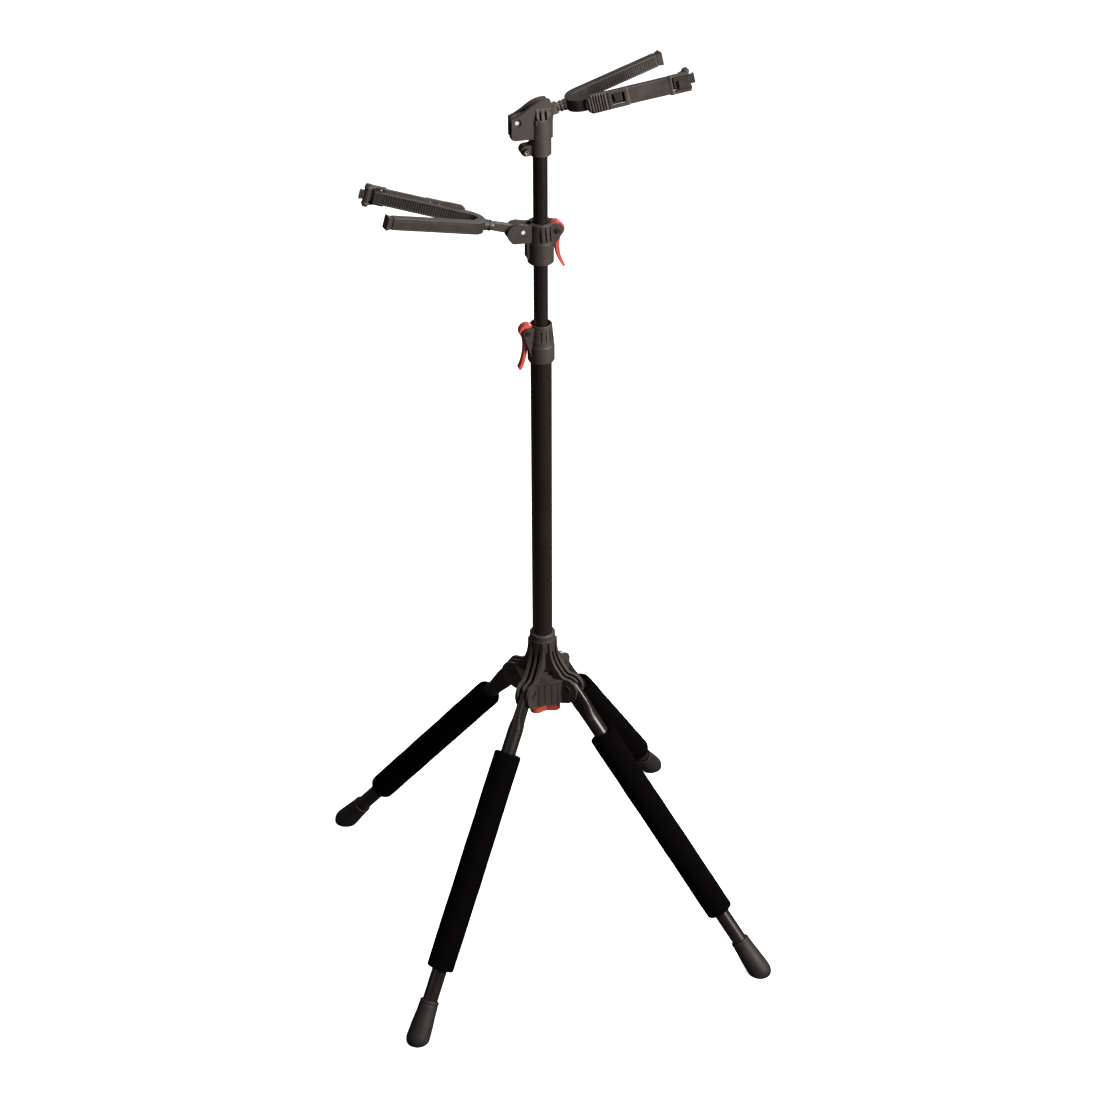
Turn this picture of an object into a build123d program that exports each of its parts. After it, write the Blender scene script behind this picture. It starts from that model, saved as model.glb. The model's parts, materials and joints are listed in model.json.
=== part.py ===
from build123d import *
import math
import os

# Four-legged stand: a steel post on a hub with swinging legs, a sliding mast, and two
# padded U-shaped yokes, the upper one facing +X and the lower one facing -X.
# Millimetres. The origin is on the floor under the post axis, +Z up, front is -Y.
# Heights below are measured from a datum under the floor; save() moves each piece to the floor.

os.makedirs("parts", exist_ok=True)

DATUM = 8.0                     # depth of the height datum below the floor
CLEAR = 0.06                    # radial running clearance
SNUG = 0.05                     # radial clearance of parts pushed over a tube
COLLET_FIT = 0.07               # radial clearance of the collets on the mast

# Tubes
POST_OD, POST_WALL = 28.6, 1.6
POST_Z0, POST_Z1 = 452.0, 957.0
MAST_OD, MAST_WALL = 19.05, 1.4
MAST_Z0, MAST_Z1 = 690.0, 1256.0
POST_R, MAST_R = POST_OD / 2, MAST_OD / 2

# Legs; distances along a leg are from its pivot
LEG_AZIMUTH = {"front_right": -45.0, "back_right": 45.0, "back_left": 135.0, "front_left": -135.0}
FOAM_SLIP = {"front_right": -2.0, "back_right": 18.0, "back_left": -12.0, "front_left": 4.0}
LEG_OD, LEG_WALL = 22.2, 1.6
LEG_R = LEG_OD / 2
LEG_TILT = 38.5                 # from vertical
PIVOT_R, PIVOT_Z = 45.0, 413.0  # leg pivot: distance from the axis, height
LEG_LENGTH = 500.0
FOAM_OD, FOAM_START, FOAM_LENGTH = 41.0, 86.0, 321.0
BOOT_START = 457.0

# Hub
EAR_HALF, GAP_HALF = 11.0, 6.5  # clevis half widths, outside and inside
HUB_FACE = 34.5                 # hub faces to the axis
COLLAR_R, COLLAR_Z0, COLLAR_Z1 = 18.2, 464.0, 494.5
GRUB_R, GRUB_Z = 2.5, 481.0
LEG_BOLT_R = 3.0
LEG_BOLT_SEAT = EAR_HALF - 1.9  # floor of the clevis recesses, from the clevis mid-plane
ROD_TIP_R, ROD_R = 4.2, 5.0     # release rod

# Clutch, hanger collar and head; pivots are (x, z)
CLUTCH_Z0, CLUTCH_Z1 = 925.0, 980.0
CLUTCH_PIN = (-20.0, 971.5)
HANGER_Z0, HANGER_Z1 = 1067.5, 1124.0
HANGER_PIN = (20.4, 1113.0)
LOWER_PIVOT = (-25.5, 1115.0)
HEAD_Z0 = 1215.0
UPPER_PIVOT = (-32.0, 1262.0)
CLAMP_SCREW = (-20.0, 1223.0)
LEVER_PIN_R, SCREW_R = 2.0, 2.5  # lever pins; pivot bolts and clamp screw
CAM_R = 10.3

# Hangers
UPPER_TILT, LOWER_TILT = 13.0, 15.4
UPPER_NECK, LOWER_NECK = 73.0, 56.0  # pivot to the centreline of the yoke's bend
YOKE_LENGTH, YOKE_TIP, YOKE_R = 140.5, 44.0, 16.0
COVER_T, COVER_H = 11.0, 16.0
CORE_T, CORE_H = 5.6, 10.0


# ---------------------------------------------------------------- helpers
def cyl_z(r, z0, z1, x=0.0):
    return Pos(x, 0, (z0 + z1) / 2) * Cylinder(r, z1 - z0)


def cyl_y(r, y0, y1, x, z):
    return Pos(x, (y0 + y1) / 2, z) * Rot(90, 0, 0) * Cylinder(r, y1 - y0)


def cyl_x(r, x0, x1, y=0.0, z=0.0):
    return Pos((x0 + x1) / 2, y, z) * Rot(0, 90, 0) * Cylinder(r, x1 - x0)


def block(x0, x1, y0, y1, z0, z1):
    return Pos((x0 + x1) / 2, (y0 + y1) / 2, (z0 + z1) / 2) * Box(x1 - x0, y1 - y0, z1 - z0)


def polygon(*points):
    return make_face(Polyline(*points, close=True))


def disc(r, x, z):
    return Pos(x, z) * Circle(r)


def spline_face(spline, tangents, corners):
    """Face bounded by a spline and by straight lines through the corners back to its start."""
    points = [spline[-1], *corners, spline[0]]
    lines = [Line(start, end) for start, end in zip(points, points[1:])]
    return make_face(Curve() + [Spline(*spline, tangents=tangents)] + lines)


def slab(face, y0, y1):
    """A face drawn in (x, z), extruded across y."""
    plane = Plane(origin=(0, y1, 0), x_dir=(1, 0, 0), z_dir=(0, -1, 0))
    return extrude(plane * face, amount=y1 - y0)


def slab_pair(face, inner, outer):
    return slab(face, inner, outer) + slab(face, -outer, -inner)


def cyl_y_pair(r, inner, outer, x, z):
    return cyl_y(r, -outer, -inner, x, z) + cyl_y(r, inner, outer, x, z)


def bore_y(r, x, z):
    """Cutter for a hole across y that runs on a pin of radius r."""
    return cyl_y(r + CLEAR, -20, 20, x, z)


def hex_y(r, y0, y1, x, z):
    return Pos(x, y1, z) * Rot(90, 0, 0) * extrude(RegularPolygon(r, 6), amount=y1 - y0)


def revolved(*outline):
    """Revolve a closed (radius, z) outline about Z."""
    return revolve(Plane.XZ * polygon(*outline), axis=Axis.Z)


def about_z(angle, shape):
    return Rot(0, 0, angle) * shape


def largest(shape):
    return max(shape.solids(), key=lambda solid: solid.volume)


def save(name, *shapes):
    solids = [Pos(0, 0, -DATUM) * solid for shape in shapes for solid in shape.solids()]
    piece = solids[0] if len(solids) == 1 else Compound(children=solids)
    piece.label = name
    export_step(piece, f"parts/{name}.step")


# ---------------------------------------------------------------- shared fittings
def tube(od, wall, z0, z1):
    return cyl_z(od / 2, z0, z1) - cyl_z(od / 2 - wall, z0 - 1, z1 + 1)


def hex_nut(r, y0, y1, bolt_r, x, z):
    return largest(hex_y(r, y0, y1, x, z) - bore_y(bolt_r, x, z))


def collet(r, z0, z1, slit_z0):
    """Sleeve on the mast with six slits open at the top."""
    body = cyl_z(r, z0, z1) - cyl_z(MAST_R + COLLET_FIT, z0 - 1, z1 + 1)
    for k in range(6):
        body -= about_z(60 * k + 30, block(8, 20, -0.8, 0.8, slit_z0, z1 + 1))
    return largest(body)


def lever_pin(x, z, shank_half, head_inner, head_outer):
    shank = cyl_y(LEVER_PIN_R, -shank_half, shank_half, x, z)
    return shank + cyl_y_pair(3.0, head_inner, head_outer, x, z)


def cam_lever(pin, stations):
    """Cam on a pin with a curved handle; stations are (x, z, thickness), top to bottom."""
    half_width, last = 5.0, len(stations) - 1
    left, right = [], []
    for i, (x, z, thickness) in enumerate(stations):
        before, after = stations[max(i - 1, 0)], stations[min(i + 1, last)]
        dx, dz = after[0] - before[0], after[1] - before[1]
        step = math.hypot(dx, dz)
        off_x, off_z = -dz / step * thickness / 2, dx / step * thickness / 2
        left.append((x + off_x, z + off_z))
        right.append((x - off_x, z - off_z))
    edges = [Spline(*left), Spline(*right), Line(left[0], right[0]), Line(left[-1], right[-1])]
    body = slab(make_face(Curve() + edges), -half_width, half_width)
    end_x, end_z, end_thickness = stations[-1]
    body += cyl_y(end_thickness / 2, -half_width, half_width, end_x, end_z)
    body += cyl_y(CAM_R, -5.8, 5.8, *pin)
    return largest(body - bore_y(LEVER_PIN_R, *pin))


# ---------------------------------------------------------------- post and mast
save("outer_tube", tube(POST_OD, POST_WALL, POST_Z0, POST_Z1))
save("mast_tube", tube(MAST_OD, MAST_WALL, MAST_Z0, MAST_Z1))

BUSH_R, BUSH_BORE = 12.6, MAST_R + 0.02
save("mast_bush", revolved(
    (BUSH_BORE, MAST_Z0), (BUSH_R, MAST_Z0), (BUSH_R, MAST_Z0 + 22),
    (11.4, MAST_Z0 + 24), (BUSH_BORE, MAST_Z0 + 24)))

# ---------------------------------------------------------------- hub
CLEVIS_R = 16.5                 # rounding of a clevis about the leg pivot
HUB_Z0, HUB_Z1 = 387.0, 427.0   # side panels
# (x, z) from the collar down and outward to the top of the clevis
HUB_SWEEP = ((17.8, 484), (19.4, 463), (25.5, 446.5), (34.5, 434.5),
             (PIVOT_R, PIVOT_Z + CLEVIS_R))
HUB_TANGENTS = ((0, -1), (1, 0))


def ear_face():
    face = spline_face(HUB_SWEEP, HUB_TANGENTS, (
        (PIVOT_R, PIVOT_Z - 10), (40, HUB_Z0), (24, HUB_Z0), (24, 430),
        (EAR_HALF - 0.1, 441), (EAR_HALF - 0.1, 484)))
    face += disc(CLEVIS_R, PIVOT_R, PIVOT_Z)
    return face + polygon((39, HUB_Z0), (50, 390.5), (58.5, 399), (61.3, 409),
                          (PIVOT_R, PIVOT_Z), (38, 402))


def web_face():
    """Rib between the ears, running over the leg's eye."""
    face = spline_face(HUB_SWEEP, HUB_TANGENTS, (
        (PIVOT_R, PIVOT_Z + 9), (33, PIVOT_Z + 9), (24, 437), (15.4, 450), (15.4, 484)))
    segment = disc(CLEVIS_R, PIVOT_R, PIVOT_Z) & polygon(
        (PIVOT_R - 1, PIVOT_Z + 6), (57, PIVOT_Z + 6),
        (57, PIVOT_Z + 20), (PIVOT_R - 1, PIVOT_Z + 20))
    return (face + segment) - disc(14.8, PIVOT_R, PIVOT_Z)


def clevis():
    """Clevis on +X with its bolt hole and a round recess on either side."""
    pivot = (PIVOT_R, PIVOT_Z)
    body = slab_pair(ear_face(), GAP_HALF, EAR_HALF) + slab(web_face(), -1.6, 1.6)
    body += cyl_y_pair(6.6, EAR_HALF - 1, EAR_HALF + 0.7, *pivot)
    body -= bore_y(LEG_BOLT_R, *pivot)
    body -= cyl_y(5.0, -20, -LEG_BOLT_SEAT, *pivot)
    return body - cyl_y(5.4, LEG_BOLT_SEAT, 20, *pivot)


def side_panel():
    """Panel on the -Y face with four upright ribs and a top rail."""
    outer = -HUB_FACE - 0.8
    panel = block(-20.6, 20.6, -HUB_FACE, -HUB_FACE + 3.2, HUB_Z0, HUB_Z1)
    for x in (-14.2, -5.0, 5.0, 14.2):
        panel += block(x - 0.9, x + 0.9, outer, -HUB_FACE + 1, 389, 426)
    return panel + block(-20.0, 20.0, outer, -HUB_FACE + 1, 423.6, HUB_Z1)


def hub_body():
    bore, top = POST_R + CLEAR, COLLAR_Z1
    hub = revolved(
        (bore, 446), (15.7, 446), (15.7, COLLAR_Z0 - 1.5), (COLLAR_R, COLLAR_Z0 + 2.5),
        (COLLAR_R, top - 1.2), (COLLAR_R - 1.2, top), (bore, top))
    # raised band round the collar
    hub += revolved((COLLAR_R - 1, top - 12), (COLLAR_R + 0.7, top - 11.3),
                    (COLLAR_R + 0.7, top - 9.7), (COLLAR_R - 1, top - 9))
    one_clevis = clevis()
    for azimuth in LEG_AZIMUTH.values():
        hub += about_z(azimuth, one_clevis)
    panel = side_panel()
    for quarter in range(4):
        hub += about_z(90 * quarter, panel)
    hub -= cyl_z(bore, 440, 500)
    hub -= cyl_x(GRUB_R + CLEAR, -30, -10, 0, GRUB_Z)
    hub = hub - cyl_z(15.3, 380, 436) - cyl_z(14.7, 380, 446)
    return largest(hub)


def cross_block(half, z0, z1):
    """Square block with its corners cut away for the clevises."""
    body = block(-half, half, -half, half, z0, z1)
    side = EAR_HALF + 0.15
    for angle in (45, 135, 225, 315):
        body -= about_z(angle, block(22.0, 60, -side, side, z0 - 1, z1 + 1))
    return body


def hub_core():
    core = cross_block(HUB_FACE - 3.35, 391, 426)
    core = core + cross_block(23.4, 425, 429.6) + cross_block(18.4, 429, 433)
    return largest(core - cyl_z(ROD_R + CLEAR, 380, 450) - cyl_z(9.8, 380, 403))


def leg_bolt():
    """Leg pivot bolt with a socket in its head, head towards -Y."""
    seat, pivot = LEG_BOLT_SEAT, (PIVOT_R, PIVOT_Z)
    bolt = cyl_y(LEG_BOLT_R, -seat - 0.2, seat + 2.7, *pivot)
    bolt += cyl_y(4.6, -seat - 2.2, -seat - 0.05, *pivot)
    return largest(bolt - cyl_y(1.9, -seat - 2.3, -seat - 1.0, *pivot))


def grub_screw():
    """Screw through the -X side of the collar against the post."""
    outer = -21.4
    socket = Rot(0, 90, 0) * extrude(RegularPolygon(1.4, 6), amount=2.2)
    screw = cyl_x(GRUB_R, outer, -POST_R - 0.08, 0, GRUB_Z)
    return largest(screw - Pos(outer, 0, GRUB_Z) * socket)


leg_nut = hex_nut(5.0, LEG_BOLT_SEAT + 0.05, LEG_BOLT_SEAT + 2.35, LEG_BOLT_R, PIVOT_R, PIVOT_Z)
save("hub_body", hub_body())
save("hub_core", hub_core())
save("leg_pivot_bolts", *[about_z(azimuth, leg_bolt()) for azimuth in LEG_AZIMUTH.values()])
save("leg_pivot_nuts", *[about_z(azimuth, leg_nut) for azimuth in LEG_AZIMUTH.values()])
save("hub_set_screw", grub_screw())


# ---------------------------------------------------------------- leg release under the hub
def four_lobes(r_in, r_out, z0, z1):
    """Plate with a wavy rim whose four lobes point along the legs."""
    lobes = 4
    count = 8 * lobes
    points = []
    for i in range(count):
        angle = 2 * math.pi * i / count
        r = (r_in + r_out) / 2 + (r_out - r_in) / 2 * math.cos(lobes * angle)
        points.append((r * math.cos(angle), r * math.sin(angle)))
    face = make_face(Spline(*points, periodic=True))
    return about_z(45, Pos(0, 0, z0) * extrude(face, amount=z1 - z0))


def release_plate():
    plate = four_lobes(18.8, 28.0, 366.5, 374) + four_lobes(17.6, 26.2, 373.9, 380)
    return largest(plate - cyl_z(8.2, 360, 370.0) - cyl_z(ROD_TIP_R + CLEAR, 360, 390))


def release_rod():
    rod = cyl_z(ROD_TIP_R, 369.9, 380.1) + cyl_z(ROD_R, 380.1, 438.0)
    rod += cyl_z(7.4, 368.2, 369.9)
    return largest(rod + cyl_z(ROD_TIP_R, 438.0, 441.0))


def release_spring():
    helix = Helix(pitch=4.4, height=19.2, radius=7.8)
    wire = Plane(origin=helix @ 0, z_dir=helix % 0) * Circle(0.75)
    return Pos(0, 0, 381.25) * sweep(wire, path=helix, is_frenet=True)


save("leg_release", release_plate())
save("release_rod", release_rod())
save("release_washer", largest(cyl_z(11.0, 438.05, 440.2) - cyl_z(ROD_TIP_R + CLEAR, 437, 442)))
save("release_spring", release_spring())

# ---------------------------------------------------------------- legs
# Built with the pivot at the origin and +Z running down the leg.
EYE_HALF = 13.7                 # half width of the flattened end
FLAT_SECTION = (EYE_HALF, 6.25, 3.4)
FLAT_END, ROUND_START = 30.0, 57.0
# half width, half thickness, superellipse exponent, distance from the pivot
LEG_STATIONS = (
    (*FLAT_SECTION, FLAT_END),
    (13.0, 7.7, 2.6, 39),
    (11.9, 9.9, 2.15, 48),
    (LEG_R, LEG_R, 2, ROUND_START),
)
# radius, distance from the top of the boot
BOOT_OUTLINE = (
    (0, 0), (13.2, 0), (13.8, 0.8), (13.9, 6), (14.5, 18), (16.5, 46), (16.9, 56),
    (16.2, 61), (14.0, 66), (10.5, 69.6), (5.5, 71.6), (0, 72),
)


def superellipse(a, b, exponent, z):
    points = []
    for i in range(24):
        angle = 2 * math.pi * i / 24
        c, s = math.cos(angle), math.sin(angle)
        k = (abs(c / a) ** exponent + abs(s / b) ** exponent) ** (-1 / exponent)
        points.append((k * c, k * s, z))
    return make_face(Spline(*points, periodic=True))


def leg_tube():
    flat = extrude(superellipse(*FLAT_SECTION, 0), amount=FLAT_END)
    tip = extrude(superellipse(*FLAT_SECTION, -14), amount=14)
    tip = tip & (Rot(90, 0, 0) * Cylinder(EYE_HALF, 30))
    transition = loft([superellipse(*station) for station in LEG_STATIONS])
    shank = extrude(superellipse(*LEG_STATIONS[-1]), amount=LEG_LENGTH - ROUND_START)
    shank -= cyl_z(LEG_R - LEG_WALL, 60, LEG_LENGTH + 1)
    return largest(flat + tip + transition + shank - bore_y(LEG_BOLT_R, 0, 0))


def leg_foam():
    foam = cyl_z(FOAM_OD / 2, FOAM_START, FOAM_START + FOAM_LENGTH)
    foam = fillet(foam.edges().filter_by(GeomType.CIRCLE), 3.5)
    return foam - cyl_z(LEG_R + SNUG, 0, 600)


def leg_boot(on_leg):
    """Boot in place on the leg, cut flat at the floor."""
    boot = revolved(*[(r, BOOT_START + along) for r, along in BOOT_OUTLINE])
    boot -= cyl_z(LEG_R + SNUG, 400, LEG_LENGTH + 0.2)
    return largest(on_leg * boot - block(200, 600, -100, 100, -100, DATUM))


def save_legs():
    sin_tilt, cos_tilt = math.sin(math.radians(LEG_TILT)), math.cos(math.radians(LEG_TILT))
    on_leg = Plane(origin=(PIVOT_R, 0, PIVOT_Z), x_dir=(cos_tilt, 0, sin_tilt),
                   z_dir=(sin_tilt, 0, -cos_tilt)).location
    leg, foam, boot = leg_tube(), leg_foam(), leg_boot(on_leg)
    for name, azimuth in LEG_AZIMUTH.items():
        save(f"leg_tube_{name}", about_z(azimuth, on_leg * leg))
        slipped = Pos(0, 0, FOAM_SLIP[name]) * foam
        save(f"leg_foam_{name}", about_z(azimuth, on_leg * slipped))
        save(f"leg_boot_{name}", about_z(azimuth, boot))


save_legs()

# ---------------------------------------------------------------- clutch on the post
CLUTCH_FLUTES = (-106, -82, *range(-60, 117, 22))  # angles from +X
CLUTCH_HANDLE = ((-23.4, 969, 9.0), (-22.2, 958, 6.2), (-22.4, 947, 4.8),
                 (-23.8, 936, 4.4), (-26.9, 925, 4.2), (-29.8, 918.6, 4.0))


def clutch_housing():
    x, z = CLUTCH_PIN
    body = revolved(
        (0, CLUTCH_Z0), (16.0, CLUTCH_Z0), (18.15, CLUTCH_Z0 + 3.2), (18.15, 949),
        (17.5, 951.2), (14.9, CLUTCH_Z1 - 0.6), (14.4, CLUTCH_Z1), (0, CLUTCH_Z1))
    for angle in CLUTCH_FLUTES:
        width = 3.3 if angle == -106 else 2.4
        flute = Pos(16.35, 0, 965.2) * Rot(0, -5.2, 0) * Box(2.5, width, 16.5)
        body -= about_z(angle, flute)
    # ring across the flutes
    body += revolved((0, 956), (17.2, 956), (17.2, 958.2), (0, 958.2))
    ear = polygon((-6, 978), (-17, 977.6), (x - 5.8, z + 1), (x - 5.6, z - 3.5),
                  (-16.4, 938), (-6, 938)) + disc(6.1, x, z)
    body += slab_pair(ear, 6.2, 9.9)
    # lever opening and the slit below it
    body -= block(-40, -2, -6.2, 6.2, 952, 990)
    body -= block(-30, -2, -1.2, 1.2, 929, 960)
    body = body - cyl_z(POST_R + CLEAR, 900, POST_Z1 + 0.6) - cyl_z(12.7, 900, 1000)
    return largest(body - bore_y(LEVER_PIN_R, x, z))


save("clutch_housing", clutch_housing())
save("clutch_collet", collet(12.6, 914, 956.4, slit_z0=928))
save("clutch_lever_pin", lever_pin(*CLUTCH_PIN, 10.6, 10.0, 11.6))
save("clutch_lever", cam_lever(CLUTCH_PIN, CLUTCH_HANDLE))

# ---------------------------------------------------------------- head on the mast
PLATE_INNER, PLATE_OUTER = 5.1, 9.6  # side plates, from the mid-plane
SLEEVE_R = 14.4
SLOT_X = (-2.7, 4.2)
# (x, z) along the top of the side plates
HEAD_TOP = ((-39, 1267.0), (-31, 1270.2), (-23, 1274.8), (-15, 1280.4), (-6, 1285.2),
            (3, 1287.2), (9, 1287.4))
HEAD_CORNERS = ((11, 1284.4), (14.6, 1283.4), (16.4, 1278), (15.0, 1268), (14.2, 1262),
                (14.2, 1239), (-35.5, 1239), (-39, 1242.5))


def head_gusset():
    """Slotted gusset between the sleeve and the side plate, on the -Y side."""
    face = polygon((-9.0, 1278.5), (-9.9, 1278.2), (-11.2, 1272), (-14.1, 1262.5),
                   (-14.1, 1258), (-9.0, 1258))
    limit = cyl_z(SLEEVE_R, 1200, 1300) + block(-30, 30, -12.4, 0, 1200, 1300)
    gusset = Pos(-8.6, 0, 0) * extrude(Plane.YZ * face, amount=20.0) & limit
    for x in SLOT_X:
        gusset -= block(x - 1.5, x + 1.5, -20, 0, 1263.6, 1273.5)
        gusset -= block(x - 0.9, x + 0.9, -20, 0, 1273.4, 1276.2)
    gusset -= block(-9.6, -7.4, -20, 0, 1263.6, 1276)
    return gusset - block(10.2, 12.4, -20, 0, 1263.6, 1276)


def head_housing():
    head = cyl_z(SLEEVE_R, HEAD_Z0 + 1.2, 1262) + cyl_z(13.2, HEAD_Z0, HEAD_Z0 + 1.3)
    plate = spline_face(HEAD_TOP, ((1, 0.25), (1, 0.0)), HEAD_CORNERS)
    head = head + slab(plate, -PLATE_OUTER, -PLATE_INNER) + slab(plate, PLATE_INNER, PLATE_OUTER)
    # clamp lug, slit later
    lug = polygon((-10, 1217.2), (-20, 1216.2), (-20, 1229.8), (-14, 1230.5), (-10, 1234))
    head += slab(lug + disc(6.8, *CLAMP_SCREW), -7.0, 7.0)
    # floor joining the plates on the -X side of the sleeve
    head += block(-38, -10, -6, 6, 1239, 1242.2)
    gusset = head_gusset()
    head = head + gusset + mirror(gusset, about=Plane.XZ)
    for x in SLOT_X:
        for y0, y1 in ((-20, -7.4), (7.4, 20)):
            head -= block(x - 1.5, x + 1.5, y0, y1, 1263.6, 1273.5)
    head -= cyl_z(MAST_R + SNUG, 1200, MAST_Z1 + 0.3)
    # room for the neck bar, then the clamp slit
    head -= block(-45, 30, -PLATE_INNER, PLATE_INNER, 1257.6, 1300)
    head -= block(-45, -22, -PLATE_INNER, PLATE_INNER, 1253.4, 1260)
    head -= block(-60, -4, -0.9, 0.9, 1200, 1250)
    head -= bore_y(SCREW_R, *UPPER_PIVOT)
    head -= cyl_y_pair(5.3, 8.2, 20, *UPPER_PIVOT)
    return largest(head - bore_y(SCREW_R, *CLAMP_SCREW))


def clamp_screw():
    screw = cyl_y(SCREW_R, -7.1, 11.4, *CLAMP_SCREW) + cyl_y(4.6, -12.4, -7.05, *CLAMP_SCREW)
    return largest(screw - hex_y(2.3, -14, -10, *CLAMP_SCREW))


save("head_housing", head_housing())
save("head_clamp_screw", clamp_screw())
save("head_clamp_nut", hex_nut(4.8, 7.1, 11.6, SCREW_R, *CLAMP_SCREW))
save("head_pivot_bolt", cyl_y(SCREW_R, -8.15, 11.6, *UPPER_PIVOT))
save("head_pivot_nut", hex_nut(4.6, 8.3, 12.3, SCREW_R, *UPPER_PIVOT))

# ---------------------------------------------------------------- sliding collar, lower hanger
HANGER_FLUTES = (-106, -82, -58, 106, 82, 58)  # angles from +X
HANGER_HANDLE = ((23.4, 1110, 9.0), (21.9, 1100, 6.0), (21.6, 1088, 4.8),
                 (23.2, 1077, 4.4), (26.8, 1067, 4.2), (29.6, 1061.4, 4.0))


def hanger_collar():
    x, z = HANGER_PIN
    body = revolved(
        (0, HANGER_Z0), (15.8, HANGER_Z0), (17.3, HANGER_Z0 + 1.4), (17.5, 1096),
        (17.0, 1099), (16.8, HANGER_Z1 - 1.0), (16.0, HANGER_Z1), (0, HANGER_Z1))
    flute = polygon((-0.4, 1121.5), (0.4, 1121.5), (2.7, 1100.5), (-2.7, 1100.5))
    flute = Pos(0, -14.9, 0) * slab(flute, -4, 0)
    for angle in HANGER_FLUTES:
        body -= about_z(angle + 90, flute)
    # lever ears on +X
    ear = polygon((6, 1123), (18, 1122.5), (x + 5, z + 6.2), (x + 8.1, z), (x + 6.2, z - 5.4),
                  (15.8, 1092), (6, 1088)) + disc(8.1, x, z)
    body += slab_pair(ear, 6.0, 9.7)
    body += cyl_y_pair(4.6, 9, 10.6, x, z)
    # neck clevis on -X, with a step below it
    cheek = polygon((-8, 1124), (-18, 1123.6), (-31, 1126.5), (-38, 1125.4), (-43.6, 1121),
                    (-46.4, 1114), (-45.0, 1107.5), (-40.5, 1101.6), (-37.5, 1100), (-8, 1099))
    body += slab_pair(cheek, 5.0, 9.6)
    body += block(-19.6, -10, -7.0, 7.0, 1076.5, 1100)
    # openings for the neck and the lever, and the slit below the lever
    body -= block(-60, -12.2, -5.0, 5.0, 1101.5, 1135)
    body -= block(2, 40, -6.0, 6.0, 1101.5, 1130)
    body -= block(2, 40, -1.2, 1.2, 1074, 1102)
    body = body - cyl_z(12.0, 1000, 1101.5) - cyl_z(11.4, 1000, 1200)
    return largest(body - bore_y(SCREW_R, *LOWER_PIVOT) - bore_y(LEVER_PIN_R, x, z))


save("hanger_collar", hanger_collar())
save("hanger_collet", collet(11.9, HANGER_Z0 + 0.6, 1100.5, slit_z0=1080))
save("hanger_lever_pin", lever_pin(*HANGER_PIN, 11.3, 10.8, 12.2))
save("hanger_lever", cam_lever(HANGER_PIN, HANGER_HANDLE))
save("hanger_pivot_bolt", cyl_y(SCREW_R, -9.65, 13.6, *LOWER_PIVOT))
save("hanger_pivot_nut", hex_nut(4.6, 9.8, 13.8, SCREW_R, *LOWER_PIVOT))

# ---------------------------------------------------------------- hangers
# Neck frame: pivot at the origin, +X out along the neck, +Z up.
# Yoke frame: the same, with its origin on the bend; strap arm on -Y, catch arm on +Y.
ROOT_ANGLE = math.radians(12.2)  # sets where the arms leave the bend
ROOT_X = YOKE_R - YOKE_R * math.sin(ROOT_ANGLE)
ROOT_Y = YOKE_R * math.cos(ROOT_ANGLE)
ARM_LENGTH = math.hypot(YOKE_LENGTH - ROOT_X, YOKE_TIP - ROOT_Y)
ARM_ANGLE = math.degrees(math.atan2(YOKE_TIP - ROOT_Y, YOKE_LENGTH - ROOT_X))
PEG_FROM_PIN = 87.0             # strap pin to the peg, along the arm
SPIGOT_R, SWIVEL_SCREW_R, STRAP_PIN_R = 4.0, 1.6, 2.2
STRAP_Y, STRAP_T = 6.1, 3.0     # arm centreline to the strap, strap thickness


def arm_frame(side):
    """Location at an arm's root on the bend, +X out along the arm."""
    return Pos(ROOT_X, side * ROOT_Y, 0) * Rot(0, 0, side * ARM_ANGLE)


# Origin on the strap pin, +X back along the arm, strap lying on +Y
STRAP_FRAME = arm_frame(-1) * Pos(ARM_LENGTH, 0, 0) * Rot(0, 0, 180)


def yoke_shape(thickness, height, strap_end, catch_end):
    """U bend with two straight arms that end at the given distances from their roots."""
    t, h = thickness / 2, height / 2
    ring = cyl_z(YOKE_R + t, -h, h, YOKE_R) - cyl_z(YOKE_R - t, -h - 1, h + 1, YOKE_R)
    cut = math.radians(90 + ARM_ANGLE)
    cut_x, cut_y = YOKE_R + 60 * math.cos(cut), 60 * math.sin(cut)
    bend = polygon((YOKE_R, 0), (cut_x, cut_y), (-60, 60), (-60, -60), (cut_x, -cut_y))
    ring = ring & (Pos(0, 0, -height) * extrude(bend, amount=2 * height))
    strap_arm = arm_frame(-1) * block(-0.3, strap_end, -t, t, -h, h)
    catch_arm = arm_frame(1) * block(-0.3, catch_end, -t, t, -h, h)
    return ring + strap_arm + catch_arm


def neck_bar(neck, half):
    """Flat eye on the pivot, bar, shoulder, and the round spigot that carries the yoke."""
    side = disc(7.0, 0, 0) + polygon(
        (0, -7), (8, -half), (neck - 19.5, -half + 0.2), (neck - 17.2, -half + 0.6),
        (neck - 17.2, half - 0.6), (neck - 19.5, half - 0.2), (8, half), (0, 7))
    bar = slab(side, -4.6, 4.6) + cyl_x(6.0, neck - 17.2, neck - 14.2)
    bar += cyl_x(SPIGOT_R, neck - 17, neck + 2.2)
    bar -= bore_y(SCREW_R, 0, 0)
    return largest(bar - cyl_x(SWIVEL_SCREW_R + CLEAR, neck - 8, neck + 5))


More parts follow.
